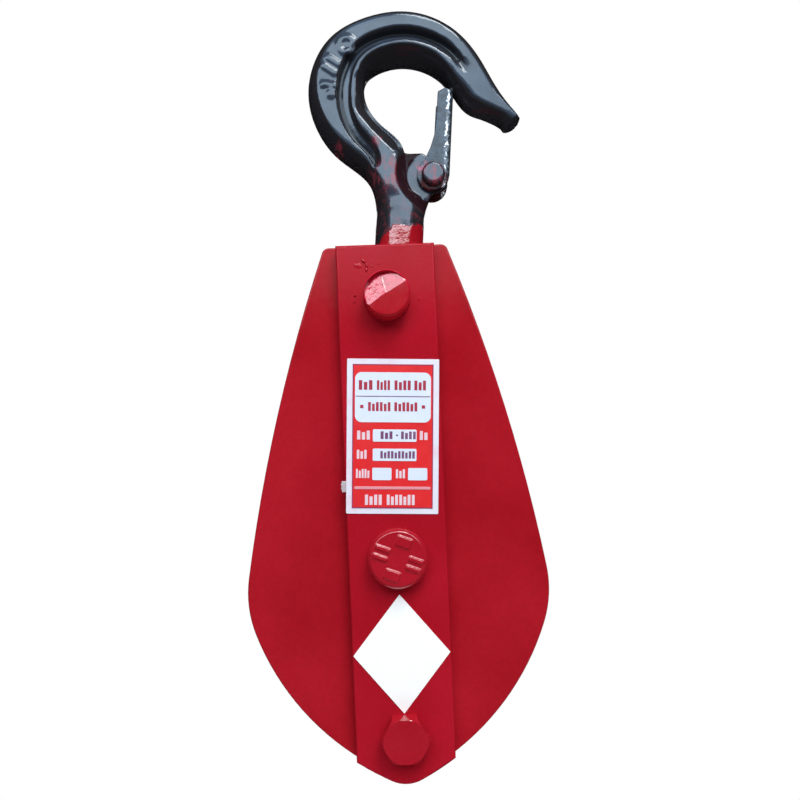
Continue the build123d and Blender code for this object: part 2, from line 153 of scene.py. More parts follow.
sky.links.new(white.outputs[0], mix.inputs[2])
sky.links.new(mix.outputs[0], out.inputs["Surface"])
bpy.context.scene.view_settings.view_transform = "Standard"
print("world is white to the eye")

# %% [markdown]
# ## Floor
# The block hangs, so the floor lies well below it. A plain pale disc is enough: it catches a
# faint shadow in the higher views, and in the photograph's own view it lies out of sight.

# %% Floor
def select_only(piece):
    """Deselects everything, then makes one object the active and only one."""
    bpy.ops.object.select_all(action="DESELECT")
    piece.select_set(True)
    bpy.context.view_layer.objects.active = piece


bpy.ops.object.select_all(action="DESELECT")
bpy.ops.mesh.primitive_circle_add(vertices=96, radius=0.55, fill_type="NGON", location=(0, 0, -0.58))
floor = bpy.context.active_object
floor.name = "floor"
bpy.ops.object.transform_apply(location=True, rotation=True, scale=True)
pale = bpy.data.materials.new("pale_floor")
pale.use_nodes = True
pale.node_tree.nodes["Principled BSDF"].inputs["Base Color"].default_value = (0.86, 0.86, 0.86, 1)
pale.node_tree.nodes["Principled BSDF"].inputs["Roughness"].default_value = 0.9
pale.node_tree.nodes["Principled BSDF"].inputs["Emission Color"].default_value = (1, 1, 1, 1)
pale.node_tree.nodes["Principled BSDF"].inputs["Emission Strength"].default_value = 0.25
floor.data.materials.append(pale)
print("floor at", floor.dimensions[:])

# %% [markdown]
# ## Black cards
# Gloss paint shows its whole room. In the photograph the hook's rounded edges and the flat
# front reflect something dark, and only tilted faces catch the sky. A studio gets that with
# black cards round the object. They are seen only in reflections, so they cast no shadow.

# %% Cards seen in reflections
black = bpy.data.materials.new("black_card")
black.use_nodes = True
black.node_tree.nodes["Principled BSDF"].inputs["Base Color"].default_value = (0.004, 0.004, 0.004, 1)
black.node_tree.nodes["Principled BSDF"].inputs["Roughness"].default_value = 1.0
black.node_tree.nodes["Principled BSDF"].inputs["Specular IOR Level"].default_value = 0.0


def black_card(name, place, turn, width, height):
    """A flat black board that only reflections see."""
    bpy.ops.object.select_all(action="DESELECT")
    bpy.ops.mesh.primitive_plane_add(size=1, location=place, rotation=[radians(v) for v in turn])
    card = bpy.context.active_object
    card.name = name
    card.scale = (width, height, 1)
    bpy.ops.object.transform_apply(location=True, rotation=True, scale=True)
    card.data.materials.append(black)
    card.visible_camera = card.visible_diffuse = card.visible_shadow = False
    card.visible_transmission = False


black_card("card_left", (-0.75, 0.7, 0), (0, 90, 0), 2.2, 2.8)
black_card("card_right", (1.15, 0.55, 0), (0, 90, 0), 2.2, 3.1)
black_card("card_above", (0.2, 0.45, 0.98), (0, 0, 0), 1.9, 3.3)
black_card("card_below", (0.2, 0.7, -0.5), (0, 0, 0), 1.9, 2.8)
black_card("card_in_front", (0.2, -1.0, -0.20), (90, 0, 0), 2.4, 0.86)
black_card("card_behind", (0.2, 2.1, 0.2), (90, 0, 0), 1.9, 1.4)
print("six cards stand round the block")

# %% [markdown]
# ## A small kit for finishes
# Every finish is a tree of nodes on Object coordinates, so it stays in place on the piece
# from every side. These helpers keep the trees short to read: one makes a node and sets its
# sockets, one gives a noise at a scale, and one turns a noise into a narrow range.

# %% Finish helpers
class Finish:
    """A material under construction."""

    def __init__(self, name):
        self.material = bpy.data.materials.new(name)
        self.material.use_nodes = True
        self.tree = self.material.node_tree
        self.shader = self.tree.nodes["Principled BSDF"]
        self.place = self.add("ShaderNodeTexCoord").outputs["Object"]

    def add(self, kind, **settings):
        made = self.tree.nodes.new(kind)
        for key, value in settings.items():
            setattr(made, key, value)
        return made

    def join(self, source, target):
        self.tree.links.new(source, target)

    def noise(self, scale, detail=4.0, roughness=0.5, stretch=(1, 1, 1)):
        """A cloud pattern; scale is in cells for each metre."""
        at = self.add("ShaderNodeMapping")
        at.inputs["Scale"].default_value = stretch
        self.join(self.place, at.inputs["Vector"])
        cloud = self.add("ShaderNodeTexNoise")
        cloud.inputs["Scale"].default_value = scale
        cloud.inputs["Detail"].default_value = detail
        cloud.inputs["Roughness"].default_value = roughness
        self.join(at.outputs[0], cloud.inputs["Vector"])
        return cloud.outputs["Fac"]

    def spread(self, source, low, high, to_low=0.0, to_high=1.0, smooth=False):
        """Maps a range of values to another, clamped."""
        ramp = self.add("ShaderNodeMapRange")
        ramp.interpolation_type = "SMOOTHSTEP" if smooth else "LINEAR"
        for key, value in (("From Min", low), ("From Max", high), ("To Min", to_low), ("To Max", to_high)):
            ramp.inputs[key].default_value = value
        self.join(source, ramp.inputs["Value"])
        return ramp.outputs["Result"]

    def blend(self, factor, first, second, kind="MIX"):
        """Mixes two colours, each an output or a plain colour, by a factor."""
        both = self.add("ShaderNodeMix", data_type="RGBA", blend_type=kind)
        for socket, value in ((both.inputs[0], factor), (both.inputs[6], first), (both.inputs[7], second)):
            if isinstance(value, bpy.types.NodeSocket):
                self.join(value, socket)
            elif isinstance(value, tuple):
                socket.default_value = (*value, 1.0)
            else:
                socket.default_value = value
        return both.outputs[2]

    def reckon(self, operation, first, second=0.0):
        """One step of arithmetic on outputs or numbers."""
        step = self.add("ShaderNodeMath", operation=operation)
        for socket, value in ((step.inputs[0], first), (step.inputs[1], second)):
            if isinstance(value, bpy.types.NodeSocket):
                self.join(value, socket)
            else:
                socket.default_value = value
        return step.outputs[0]

    def bump(self, height, strength, distance):
        """A fine relief; a second call is laid over the first."""
        relief = self.add("ShaderNodeBump")
        relief.inputs["Strength"].default_value = strength
        relief.inputs["Distance"].default_value = distance
        self.join(height, relief.inputs["Height"])
        if self.shader.inputs["Normal"].is_linked:
            self.join(self.shader.inputs["Normal"].links[0].from_socket, relief.inputs["Normal"])
        self.join(relief.outputs[0], self.shader.inputs["Normal"])

    def spot(self, x, z, near, far):
        """A soft disc round a place on the front: 1 within near metres, 0 beyond far."""
        flat = self.add("ShaderNodeVectorMath", operation="MULTIPLY")
        self.join(self.place, flat.inputs[0])
        flat.inputs[1].default_value = (1, 0, 1)
        gap = self.add("ShaderNodeVectorMath", operation="DISTANCE")
        self.join(flat.outputs[0], gap.inputs[0])
        gap.inputs[1].default_value = (x, 0, z)
        return self.spread(gap.outputs["Value"], near, far, 1.0, 0.0, smooth=True)

    def wear(self):
        """How much a place is an edge: about 0.5 on flats, more on outer edges."""
        return self.add("ShaderNodeNewGeometry").outputs["Pointiness"]

    def colour(self, value):
        self.join(value, self.shader.inputs["Base Color"])

    def gloss(self, value):
        self.join(value, self.shader.inputs["Roughness"])

    def set(self, **numbers):
        """Sets plain values on the shader's own sockets."""
        for key, value in numbers.items():
            self.shader.inputs[key.replace("_", " ")].default_value = value


def dress(names, finish):
    """Gives CAD nodes a finish, in place of the plain colour that they came with."""
    for name in names:
        data = nodes[name].data
        data.materials.clear()
        data.materials.append(finish.material)


print("finish kit ready")

# %% [markdown]
# ## Red gloss paint
# The cheeks and straps were sprayed with a thick gloss red in the works. Such paint has a
# faint orange peel, small dust nibs and a slow change of depth where the coat is thicker.
# Noise at three scales gives these: clouds for depth, cells of about two millimetres for the
# peel, and rare specks for the nibs.

# %% Red paint
def red_paint_colour(finish, thin=(0.40, 0.006, 0.014), thick=(0.48, 0.010, 0.020)):
    """The slow change of depth in the red coat."""
    depth = finish.spread(finish.noise(28, 3), 0.35, 0.65)
    base = finish.blend(depth, thin, thick)
    fine = finish.spread(finish.noise(900, 2), 0.3, 0.7, 0.94, 1.04)
    return finish.blend(1.0, base, fine, "MULTIPLY")


def red_paint(name, thin, thick, specular=0.22):
    """Thick gloss red with orange peel and a few dust nibs under it."""
    paint = Finish(name)
    paint.colour(red_paint_colour(paint, thin, thick))
    paint.gloss(paint.spread(paint.noise(140, 3), 0.3, 0.7, 0.09, 0.15))
    paint.bump(paint.noise(420, 2), 0.06, 0.0003)
    nibs = paint.spread(paint.noise(620, 1), 0.78, 0.84)
    paint.bump(nibs, 0.10, 0.0002)
    paint.set(Specular_IOR_Level=specular)
    return paint


# One paint covers cheeks, straps and heads; the cheeks' copy is a little darker, painted shade, and the
# heads' copy a little lighter, painted light, for how the light falls on each part.
cheek_red = red_paint("red_gloss_cheek", (0.375, 0.007, 0.014), (0.45, 0.011, 0.021))
strap_red = red_paint("red_gloss_strap", (0.40, 0.007, 0.016), (0.475, 0.010, 0.024))
head_red = red_paint("red_gloss_heads", (0.41, 0.008, 0.018), (0.49, 0.012, 0.026), 0.9)
dress(["front_cheek", "back_cheek", "crosshead", "bottom_spacer"], cheek_red)
dress(["front_strap", "back_strap"], strap_red)
dress(["axle_pin", "axle_washer", "axle_nut", "bottom_bolt", "bottom_washer", "bottom_nut"], head_red)
print("red paint on")

# %% [markdown]
# ## Plain metals
# The sheave is grey iron with a turned groove, its bush is bronze, and the nuts and washers
# on the hook's stem are bare steel. Turning leaves fine rings round the axle, so a wave
# pattern in rings about Y is stretched over each.

# %% Turned metals
def turned_metal(name, dark, light, metallic, rough, ring_scale):
    """Metal with faint turning rings round the sheave's axle and a cloudy tarnish."""
    metal = Finish(name)
    centred = metal.add("ShaderNodeMapping")
    centred.inputs["Location"].default_value = (-axle.x, 0, -axle.z)
    metal.join(metal.place, centred.inputs["Vector"])
    rings = metal.add("ShaderNodeTexWave", wave_type="RINGS", rings_direction="Y")
    rings.inputs["Scale"].default_value = ring_scale
    rings.inputs["Distortion"].default_value = 0.6
    metal.join(centred.outputs[0], rings.inputs["Vector"])
    cloud = metal.noise(160, 4)
    metal.colour(metal.blend(metal.spread(cloud, 0.35, 0.65), dark, light))
    metal.gloss(metal.spread(cloud, 0.3, 0.7, rough - 0.08, rough + 0.12))
    metal.bump(rings.outputs["Fac"], 0.15, 0.0002)
    metal.set(Metallic=metallic)
    return metal


iron = turned_metal("turned_iron", (0.10, 0.10, 0.105), (0.17, 0.165, 0.16), 0.7, 0.42, 700)
bronze = turned_metal("turned_bronze", (0.42, 0.24, 0.09), (0.55, 0.34, 0.14), 1.0, 0.35, 900)
bare_steel = turned_metal("bare_steel", (0.26, 0.26, 0.27), (0.42, 0.42, 0.43), 1.0, 0.34, 800)
dress(["sheave"], iron)
dress(["sheave_bush"], bronze)
dress(["hook_washer", "hook_nut", "hook_nut_pin", "thrust_washers", "latch_spring"], bare_steel)
print("metals on")

# %% [markdown]
# ## Labels
# The labels are printed on glossy film. White film is not one white: it has a cool cast and
# a little grime in patches, which a coarse noise gives.

# %% Label film
def film(name, clean, grimy):
    """Printed film with a faint grime and a satin face."""
    sheet = Finish(name)
    grime_and_painted_shade = sheet.spread(sheet.noise(180, 5, 0.6), 0.5, 0.75)
    sheet.colour(sheet.blend(grime_and_painted_shade, clean, grimy))
    sheet.gloss(sheet.spread(sheet.noise(300, 3), 0.3, 0.7, 0.32, 0.5))
    sheet.bump(sheet.noise(240, 2), 0.05, 0.0003)
    sheet.set(Specular_IOR_Level=0.35)
    return sheet


white_film = film("white_film", (0.83, 0.79, 0.87), (0.84, 0.64, 0.72))
cool_film = film("cool_white_print", (0.76, 0.81, 0.93), (0.84, 0.85, 0.92))
red_film = film("red_print", (0.80, 0.022, 0.025), (0.70, 0.018, 0.025))
glowing_blank_film = film("glowing_blank_white_film", (0.98, 0.95, 0.92), (0.95, 0.92, 0.90))
# The blank diamond also glows faintly: painted light that keeps it pure white.
glowing_blank_film.set(Emission_Color=(1, 1, 1, 1), Emission_Strength=0.10)
dress(["label_sheet"], white_film)
dress(["diamond_label"], glowing_blank_film)
dress(["label_panels"], cool_film)
dress(["label_field"], red_film)
print("labels on")

# %% [markdown]
# ## The forged hook
# A drop forging has no sharp inner corners: every groove and mark runs out softly, and the
# paint softens it further. The solid's own edges are crisp, so the hook is copied, its loose
# triangles are merged, and it is remeshed in small voxels and smoothed a little. That rounds
# each corner by about half a millimetre and keeps the size. Then its surface is worked along
# a few lines drawn on the flank, each a list of points with a weight: the groove's inner wall
# and its far end are melted, its outer side is deepened to a valley, and the flank falls away
# beside the seat, under the tip and round the latch's lug, as the real forging does. Where the
# groove runs is read from the solid, by rays that cross it just above its floor.

# %% Softened copy of a node
def merged_copy(name, new_name):
    """A copy of a CAD node with its loose triangles joined."""
    bpy.ops.object.select_all(action="DESELECT")
    piece = bpy.data.objects.new(new_name, nodes[name].data.copy())
    bpy.context.scene.collection.objects.link(piece)
    select_only(piece)
    bpy.ops.object.mode_set(mode="EDIT")
    bpy.ops.mesh.select_all(action="SELECT")
    bpy.ops.mesh.remove_doubles(threshold=0.000005)
    bpy.ops.object.mode_set(mode="OBJECT")
    if piece.data.has_custom_normals:
        bpy.ops.mesh.customdata_custom_splitnormals_clear()
    piece.data.materials.clear()
    return piece


def soften(piece, voxel, passes):
    """Remeshes a closed piece in small voxels and smooths it."""
    select_only(piece)
    remesh = piece.modifiers.new("voxels", "REMESH")
    remesh.mode = "VOXEL"
    remesh.voxel_size = voxel
    bpy.ops.object.modifier_apply(modifier="voxels")
    smooth = piece.modifiers.new("smooth", "SMOOTH")
    smooth.factor = 0.5
    smooth.iterations = passes
    bpy.ops.object.modifier_apply(modifier="smooth")
    bpy.ops.object.shade_smooth()
    print(piece.name, "has", len(piece.data.polygons), "faces")
    return piece


def smooth_part(piece, chosen, passes):
    """Smooths only the vertices that a rule picks, to melt a step away."""
    select_only(piece)
    bpy.ops.object.mode_set(mode="EDIT")
    bpy.ops.mesh.select_all(action="DESELECT")
    bpy.ops.object.mode_set(mode="OBJECT")
    for corner in piece.data.vertices:
        corner.select = chosen(corner.co)
    bpy.ops.object.mode_set(mode="EDIT")
    bpy.ops.mesh.select_mode(type="VERT")
    bpy.ops.mesh.vertices_smooth(factor=0.5, repeat=passes)
    bpy.ops.object.mode_set(mode="OBJECT")


# %% Lines on the hook's flanks
full_flank = 4.5 * MM       # this far from the middle plane a flank is lowered in full
flank_start = 3.0 * MM      # nearer to the middle plane nothing is melted
band_depth = 6.3 * MM       # the band's face; what lies lower can be valley
band_fade = 0.7 * MM


def fair(run):
    """The same line with three more points on a smooth curve between each two."""
    full = [run[0]] + run + [run[-1]]
    found = []
    for stretch in zip(full, full[1:], full[2:], full[3:]):
        for t in (0, 0.25, 0.5, 0.75):
            found.append(tuple(0.5 * (2 * b + (c - a) * t + (2 * a - 5 * b + 4 * c - d) * t ** 2
                                      + (3 * b - a - 3 * c + d) * t ** 3) for a, b, c, d in zip(*stretch)))
    return found + [run[-1]]


def nearness(spot, run, reach):
    """1 on a line of points (x and z in millimetres, weight), falling to 0 at reach metres."""
    here = Vector((spot.x, spot.z)) / MM
    best = 0.0
    for (x, z, first), (x2, z2, last) in zip(run, run[1:]):
        start, along = Vector((x, z)), Vector((x2 - x, z2 - z))
        part = min(1.0, max(0.0, (here - start).dot(along) / along.length_squared))
        gap = (here - start - part * along).length * MM / reach
        if gap < 1:
            best = max(best, (first + part * (last - first)) * (1 - gap ** 2) ** 2)
    return best


def sink(piece, run, reach, depth):
    """Lowers both flanks towards the middle plane beside a line, by up to depth metres."""
    for corner in piece.data.vertices:
        side = corner.co.y / full_flank
        fall = depth * nearness(corner.co, run, reach)
        corner.co.y -= fall * max(-1.0, min(1.0, side)) * min(1.0, abs(side))


def melt(piece, run, reach, passes):
    """Smooths the flanks along a line, out to reach metres."""
    smooth_part(piece, lambda at: abs(at.y) > flank_start and nearness(at, run, reach) > 0, passes)


# %% The groove's walls, read from the solid
just_above_floor = -4.7 * MM    # a height at which both walls of the groove stand
ray_step = 0.01 * MM
hook_mesh = nodes["hook"].data
hook_solid = BVHTree.FromPolygons([corner.co for corner in hook_mesh.vertices],
                                  [face.vertices for face in hook_mesh.polygons])


def groove_walls(x, z, angle):
    """Where a ray over the front flank leaves the rim and meets the outer band, in millimetres."""
    way = Vector((cos(radians(angle)), 0, sin(radians(angle))))
    at = Vector((x * MM, just_above_floor, z * MM))
    hit, normal, face, gap = hook_solid.ray_cast(at, way)
    while normal.dot(way) < 0:
        hit, normal, face, gap = hook_solid.ray_cast(hit + ray_step * way, way)
    band = hook_solid.ray_cast(hit + ray_step * way, way)[0]
    return hit / MM, band / MM


# %% Hook forging
hook = soften(merged_copy("hook", "hook_forging"), 0.42 * MM, 8)
neck_step_low, neck_step_high = -42.5 * MM, -36.5 * MM
smooth_part(hook, lambda at: neck_step_low < at.z < neck_step_high, 40)

groove_cuts = [(0.5, -20.6, 199.5), (-0.5, -15.1, 204.5)]
groove_cuts += [(0, 0, angle) for angle in range(222, 40, -30)]
groove_cuts += [(17.7, 0.3, 52)]
walls = [groove_walls(*cut) for cut in groove_cuts]
rim_wall = fair([(rim.x, rim.z, 1) for rim, band in walls])
groove_end = [(20.4, 7.4, 1), (23.2, 4.2, 1)]
melt(hook, rim_wall, 1.3 * MM, 14)
melt(hook, groove_end, 2.8 * MM, 40)

floor_points = [rim.lerp(band, 0.8) for rim, band in walls]
valley_weights = [0.7] + [1] * (len(walls) - 2) + [0]
valley_line = fair([(at.x, at.z, weight) for at, weight in zip(floor_points, valley_weights)])
sink(hook, valley_line, 1.5 * MM, 0.45 * MM)
print("groove wall", [(round(rim.x, 1), round(rim.z, 1)) for rim, band in walls])
# Painted shade: each corner gets a weight for how near it lies to the valley's floor below the band, and
# the paint darkens it there and takes shine away.
grime_and_painted_shade = []
for corner in hook.data.vertices:
    near_valley = min(1.0, 2.2 * nearness(corner.co, valley_line, 1.45 * MM))
    below_band = min(1.0, max(0.0, (band_depth - abs(corner.co.y)) / band_fade))
    grime_and_painted_shade.append(near_valley * below_band)
hook.data.attributes.new("valley", "FLOAT", "POINT").data.foreach_set("value", grime_and_painted_shade)

pivot = middle("latch_rivet")
seat_left = [(-7.5, 10.6, 0), (-11.2, 6.0, 0.12), (-12.2, 2.5, 0.35), (-10.5, -3.9, 0.9), (-5.9, -9.5, 1),
             (-0.5, -15.1, 1), (0.6, -18.5, 0.3), (0.8, -21.0, 0)]
seat_tip = [(14.5, 6.4, 0), (18.2, 0.5, 0.7), (21.5, -4.0, 1), (24.5, -6.0, 1), (30.5, -9.2, 1),
            (33.6, -11.3, 1)]
lug_valley_r = 10.2
lug_valley = [(pivot.x / MM + lug_valley_r * cos(radians(a)),
               pivot.z / MM + lug_valley_r * sin(radians(a)), 1) for a in range(140, 275, 9)]
sink(hook, seat_left, 6.2 * MM, 3.4 * MM)
sink(hook, seat_tip, 3.6 * MM, 2.0 * MM)
sink(hook, lug_valley, 2.7 * MM, 1.1 * MM)
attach(hook, "hook_body")
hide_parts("hook")

# %% [markdown]
# ## Black paint with red overspray
# The hook was painted black before the block was sprayed red, so the foot of its shank is
# red up to a slanting edge, and a reddish mist lies on the neck above it. A mask that falls
# with height, frayed by a noise, carries the red, and soft discs place the smears that lie
# apart. On the flats that face front and back a blue-grey sheen is painted into the black, a
# painted reflection of the sky; the rounded parts stay deep black. The groove's valley and the
# hollow round the lug get painted shade, darker and less shiny, where little light falls.

# %% Hook paint
hook_paint = Finish("black_gloss_paint")
axes = hook_paint.add("ShaderNodeSeparateXYZ")
hook_paint.join(hook_paint.place, axes.inputs[0])
facing = hook_paint.add("ShaderNodeSeparateXYZ")
hook_paint.join(hook_paint.add("ShaderNodeNewGeometry").outputs["Normal"], facing.inputs[0])
# Painted reflection: the flats that face front or back get a blue-grey sheen in their colour.
flats = hook_paint.spread(hook_paint.reckon("ABSOLUTE", facing.outputs["Y"]), 0.82, 0.97, smooth=True)
cloud = hook_paint.spread(hook_paint.noise(120, 4), 0.3, 0.7, 0.4, 1.0)
painted_sheen = hook_paint.reckon("MULTIPLY", flats, cloud)
black_with_painted_sheen = hook_paint.blend(painted_sheen, (0.022, 0.020, 0.023), (0.052, 0.074, 0.110))
fray = hook_paint.spread(hook_paint.noise(260, 4), 0.3, 0.7, -0.0012, 0.0012)
edge = hook_paint.reckon("ADD", axes.outputs["Z"], fray)
slant = hook_paint.spread(axes.outputs["X"], -0.0125, -0.004, 0.0078, 0.0, smooth=True)
edge = hook_paint.reckon("ADD", edge, slant)
sprayed = hook_paint.spread(edge, -0.0440, -0.0448, smooth=True)
mist_height = hook_paint.spread(axes.outputs["Z"], -0.050, -0.022, 0.62, 0.0, smooth=True)
mist_dots = hook_paint.spread(hook_paint.noise(520, 5, 0.65), 0.50, 0.66)
mist = hook_paint.reckon("MULTIPLY", mist_height, mist_dots)
streaks = hook_paint.spread(hook_paint.noise(380, 5, 0.7, (1.6, 1, 0.7)), 0.46, 0.57)
smears = ((-5.5, -27.5, 2.5, 8.0), (-8.6, -16.6, 0.5, 3.0), (-21.0, -17.8, 0.2, 2.8),
          (5.5, -25.0, 0.5, 4.0), (9.8, -28.0, 1.5, 4.6))
for x, z, near, far in smears:
    area = hook_paint.spot(x * MM, z * MM, near * MM, far * MM)
    mist = hook_paint.reckon("MAXIMUM", mist, hook_paint.reckon("MULTIPLY", area, streaks))
mist_with_painted_sheen_and_shade = hook_paint.blend(mist, black_with_painted_sheen, (0.22, 0.034, 0.050))
hook_paint.gloss(hook_paint.spread(hook_paint.noise(210, 4), 0.3, 0.7, 0.07, 0.16))
hook_paint.bump(hook_paint.noise(330, 3), 0.16, 0.0004)
hook_paint.bump(hook_paint.noise(95, 2), 0.25, 0.0006)
dents = hook_paint.reckon("MULTIPLY", hook_paint.noise(480, 3, 0.55), sprayed)
hook_paint.bump(dents, 0.5, 0.0005)
# Painted shade in the hollow round the lug, on its left and lower side.
hollow_in = hook_paint.spot(pivot.x, pivot.z, 8.1 * MM, 8.6 * MM)
hollow_out = hook_paint.spot(pivot.x, pivot.z, 11.8 * MM, 12.6 * MM)
lug_left = hook_paint.spread(axes.outputs["X"], pivot.x - 1.5 * MM, pivot.x + 2.5 * MM, 1.0, 0.0)
hollow = hook_paint.reckon("MULTIPLY", hook_paint.reckon("SUBTRACT", hollow_out, hollow_in), lug_left)
hollow = hook_paint.reckon("MULTIPLY", hollow, hook_paint.spread(axes.outputs["Z"], -0.0175, -0.0195))
valley = hook_paint.add("ShaderNodeAttribute", attribute_name="valley").outputs["Fac"]
shine = hook_paint.reckon("SUBTRACT", hook_paint.spread(sprayed, 0.0, 1.0, 0.46, 1.0),
                          hook_paint.reckon("MAXIMUM", hook_paint.reckon("MULTIPLY", hollow, 0.40),
                                            hook_paint.reckon("MULTIPLY", valley, 0.20)))
tip_dulling = hook_paint.spread(axes.outputs["X"], 17 * MM, 29 * MM, 0.0, 0.15)
shine = hook_paint.reckon("SUBTRACT", shine, tip_dulling)
hook_paint.join(shine, hook_paint.shader.inputs["Specular IOR Level"])
# Painted shade in the groove's valley: the sheen is taken out and the black made darker.
mist_with_painted_sheen_and_shade = hook_paint.blend(valley, mist_with_painted_sheen_and_shade, (0.020, 0.022, 0.028))
# Painted shade in the hollow round the lug: a dark red-black there.
mist_with_painted_sheen_and_shade = hook_paint.blend(hollow, mist_with_painted_sheen_and_shade, (0.022, 0.008, 0.011))
hook_paint.colour(hook_paint.blend(sprayed, mist_with_painted_sheen_and_shade, red_paint_colour(hook_paint)))
tint = hook_paint.blend(sprayed, (0.76, 0.89, 1.0), (1.0, 1.0, 1.0))
hook_paint.join(tint, hook_paint.shader.inputs["Specular Tint"])
hook.data.materials.append(hook_paint.material)
dress(["hook", "latch_rivet"], hook_paint)
print("hook painted")

# %% [markdown]
# ## Latch
# The latch is a folded steel sheet. Just inside the bend its black finish has a bright ragged
# line, worn paint with a painted highlight on it. Beyond the line the web gets painted shade,
# below the rivet the finish is dark red-brown, and above and left of the rivet lies a painted
# pink highlight. The line stands nearly upright, so its distance from the bend is X less a
# small share of Z.

# %% Latch
latch = soften(merged_copy("latch", "latch_pressing"), 0.24 * MM, 3)
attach(latch, "latch_body")
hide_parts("latch")

latch_finish = Finish("worn_black_steel")
latch_axes = latch_finish.add("ShaderNodeSeparateXYZ")
latch_finish.join(latch_finish.place, latch_axes.inputs[0])
bend = latch_finish.reckon("SUBTRACT", latch_axes.outputs["X"],
                           latch_finish.reckon("MULTIPLY", latch_axes.outputs["Z"], 0.0875))
ragged = latch_finish.spread(latch_finish.noise(900, 4, 0.65), 0.3, 0.7, -0.0006, 0.0006)
bend = latch_finish.reckon("ADD", bend, ragged)
# The bright line: worn paint, with a painted highlight on it along the bend.
inner_side = latch_finish.spread(bend, 0.0150, 0.0152)
outer_side = latch_finish.spread(bend, 0.0157, 0.0159, 1.0, 0.0)
gaps = latch_finish.spread(latch_finish.noise(330, 3), 0.47, 0.54, 0.15, 1.0)
bright = latch_finish.reckon("MULTIPLY", latch_finish.reckon("MULTIPLY", inner_side, outer_side), gaps)
scuffs = latch_finish.spread(latch_finish.noise(700, 4), 0.3, 0.7, -0.04, 0.04)
worn = latch_finish.spread(latch_finish.reckon("ADD", latch_finish.wear(), scuffs), 0.60, 0.70, 0.0, 0.7)
bright = latch_finish.reckon("MAXIMUM", bright, worn)
clouds = latch_finish.spread(latch_finish.noise(420, 4), 0.35, 0.65)
skin = latch_finish.blend(clouds, (0.012, 0.013, 0.017), (0.040, 0.058, 0.088))
below = latch_finish.spot(pivot.x + 1.0 * MM, pivot.z - 4.2 * MM, 5.0 * MM, 6.5 * MM)
blotch = latch_finish.spread(latch_finish.noise(420, 4, 0.6), 0.42, 0.56)
red_brown = latch_finish.blend(blotch, (0.014, 0.007, 0.008), (0.075, 0.016, 0.016))
skin = latch_finish.blend(below, skin, red_brown)
# A painted pink highlight above and left of the rivet.
painted_pink_highlight = latch_finish.reckon("MULTIPLY", latch_finish.spot(0.0055, -0.0245, 0.0008, 0.0032),
                           latch_finish.spread(latch_finish.noise(600, 4, 0.6), 0.40, 0.55))
skin = latch_finish.blend(painted_pink_highlight, skin, (0.42, 0.10, 0.17))
# Painted shade on the web beyond the bend: near-black colour and less shine.
shadow = latch_finish.spread(bend, 0.0160, 0.0164)
skin = latch_finish.blend(shadow, skin, (0.010, 0.010, 0.013))
latch_finish.colour(latch_finish.blend(bright, skin, (0.62, 0.66, 0.72)))
dull = latch_finish.reckon("MAXIMUM", shadow, below)
latch_shine = latch_finish.spread(dull, 0.0, 1.0, 0.40, 0.06)
latch_finish.join(latch_shine, latch_finish.shader.inputs["Specular IOR Level"])
latch_finish.gloss(latch_finish.spread(latch_finish.noise(500, 3), 0.3, 0.7, 0.10, 0.26))
latch_finish.bump(latch_finish.noise(620, 3), 0.30, 0.0004)
latch_finish.join(latch_finish.spread(bright, 0.0, 1.0, 0.0, 0.5), latch_finish.shader.inputs["Metallic"])
latch_finish.set(Specular_Tint=(0.76, 0.89, 1.0, 1.0))
latch.data.materials.append(latch_finish.material)
print("latch worn")

# %% [markdown]
# ## Label print
# The real label carries words. Here each word is only a row of small plain blocks, which
# read as print from a distance and say nothing. A block is a cube primitive, thinned to the
# print's thickness, and all blocks of one ink are joined to one piece and bevelled.

# %% Blocks of print
ink_depth = 0.04 * MM
frame_ink_depth = 0.03 * MM
label_middle = middle("label_sheet")
label_turn = radians(2.8)
label_right = Vector((cos(label_turn), 0, -sin(label_turn)))
label_up = Vector((sin(label_turn), 0, cos(label_turn)))


def print_block(x, z, wide, tall, face, thick):
    """One block of ink at a place on the label, in millimetres from its middle."""
    at = label_middle + x * MM * label_right + z * MM * label_up
    bpy.ops.object.select_all(action="DESELECT")
    bpy.ops.mesh.primitive_cube_add(size=1, location=(at.x, face - thick / 2, at.z),
                                    rotation=(0, label_turn, 0))
    block = bpy.context.active_object
    block.scale = (wide * MM, thick, tall * MM)
    return block


def print_word(start, end, z, tall, letters, face):
    """A word as equal blocks with small gaps, every third of them cut short from above."""
    step = (end - start) / letters
    blocks = []
    for n in range(letters):
        height = tall * (0.82 if n % 3 == 1 else 1.0)
        x = start + (n + 0.45) * step
        blocks.append(print_block(x, z - (tall - height) / 2, step * 0.68, height, face, ink_depth))
    return blocks


def join_print(blocks, name, finish):
    """Joins blocks to one piece with its place in its mesh."""
    bpy.ops.object.select_all(action="DESELECT")
    for block in blocks:
        block.select_set(True)
    bpy.context.view_layer.objects.active = blocks[0]
    if len(blocks) > 1:
        bpy.ops.object.join()
    piece = bpy.context.active_object
    piece.name = name
    bpy.ops.object.transform_apply(location=True, rotation=True, scale=True)
    edge = piece.modifiers.new("soft_edge", "BEVEL")
    edge.width = 0.012 * MM
    edge.segments = 1
    bpy.ops.object.modifier_apply(modifier="soft_edge")
    piece.data.materials.append(finish.material)
    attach(piece, "block_body")
    print(name, "has", len(piece.data.polygons), "faces")


